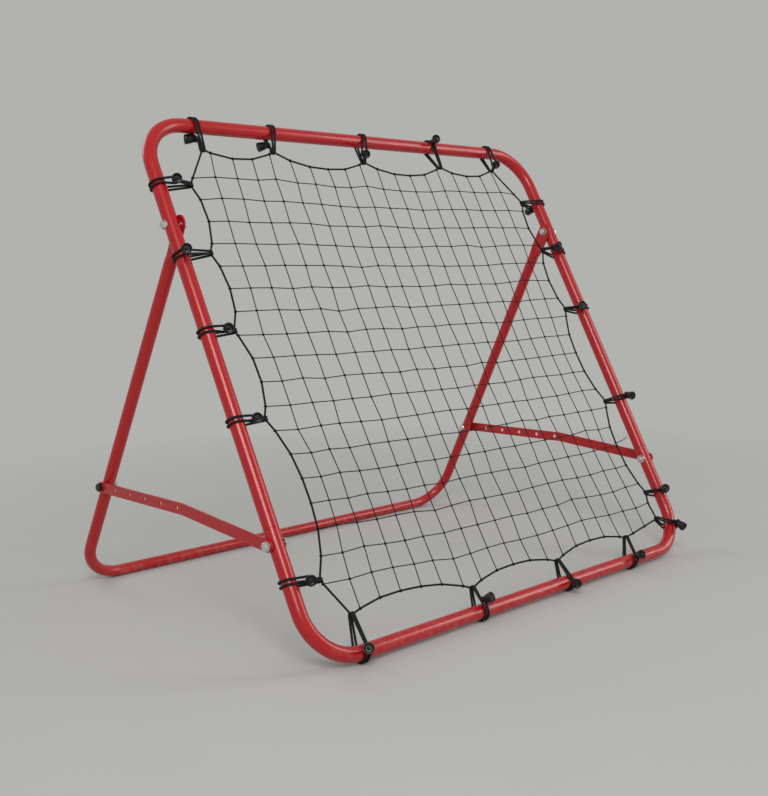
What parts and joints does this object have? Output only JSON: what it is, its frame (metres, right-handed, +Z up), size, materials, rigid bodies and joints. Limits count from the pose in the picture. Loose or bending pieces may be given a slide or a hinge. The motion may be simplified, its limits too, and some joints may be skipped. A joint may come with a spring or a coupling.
{
  "type": "pitch back rebounder",
  "caption": "Free-standing ball rebounder: a square net held by toggled elastic cords in a leaning round-tube frame, with a hinged rear leg and perforated side braces.",
  "frame": {"origin": "on the ground, in the middle between the two sides and between front and back", "axes": "+Z up, +X to the right as the thrower sees it, the net faces -Y and leans back towards +Y"},
  "size_m": [1.0224, 0.767, 0.8749],
  "materials": {
    "red_paint": "glossy powder coat",
    "zinc": "bright zinc plate",
    "elastic_cord": "braided elastic cord",
    "toggle_plastic": "moulded satin plastic",
    "border_cord": "twisted rope",
    "net_cord": "knotted twine",
    "cap_plastic": "moulded satin plastic"
  },
  "bodies": {
    "frame": {"frame_lower_tube": "red_paint", "frame_upper_tube": "red_paint", "pivot_bolts": "zinc", "pivot_washers": "zinc", "pivot_nuts": "zinc", "brace_bolts": "zinc", "brace_washers": "zinc", "brace_nuts": "zinc", "net": "net_cord", "net_border_cord": "border_cord", "bungee_top_1": "elastic_cord", "bungee_top_2": "elastic_cord", "bungee_top_3": "elastic_cord", "bungee_top_4": "elastic_cord", "bungee_top_5": "elastic_cord", "bungee_right_1": "elastic_cord", "bungee_right_2": "elastic_cord", "bungee_right_3": "elastic_cord", "bungee_right_4": "elastic_cord", "bungee_right_5": "elastic_cord", "bungee_right_6": "elastic_cord", "bungee_bottom_1": "elastic_cord", "bungee_bottom_2": "elastic_cord", "bungee_bottom_3": "elastic_cord", "bungee_bottom_4": "elastic_cord", "bungee_left_1": "elastic_cord", "bungee_left_2": "elastic_cord", "bungee_left_3": "elastic_cord", "bungee_left_4": "elastic_cord", "bungee_left_5": "elastic_cord", "toggles_top": "toggle_plastic", "toggles_right": "toggle_plastic", "toggles_bottom": "toggle_plastic", "toggles_left": "toggle_plastic"},
    "leg": {"leg_lower_tube": "red_paint", "leg_upright_left": "red_paint", "leg_upright_right": "red_paint", "adjuster_nuts": "zinc"},
    "left_brace": {"brace_left": "red_paint", "adjuster_bolt_left": "cap_plastic"},
    "right_brace": {"brace_right": "red_paint", "adjuster_bolt_right": "cap_plastic"}
  },
  "joints": [
    {"name": "leg_fold", "type": "hinge", "parent": "frame", "child": "leg", "pos_m": [0, -0.00135, 0.67501], "axis": [-1, 0, 0], "range_deg": [0, 24]},
    {"name": "left_brace_swing", "type": "hinge", "parent": "frame", "child": "left_brace", "pos_m": [-0.5027, -0.25577, 0.18627], "axis": [1, 0, 0], "range_deg": [0, 36.5]},
    {"name": "right_brace_swing", "type": "hinge", "parent": "frame", "child": "right_brace", "pos_m": [0.5027, -0.25577, 0.18627], "axis": [1, 0, 0], "range_deg": [0, 36.5]}
  ],
  "couplings": [
    {"joint": "left_brace_swing", "follows": "leg_fold", "ratio": 1.5},
    {"joint": "right_brace_swing", "follows": "leg_fold", "ratio": 1.5}
  ]
}
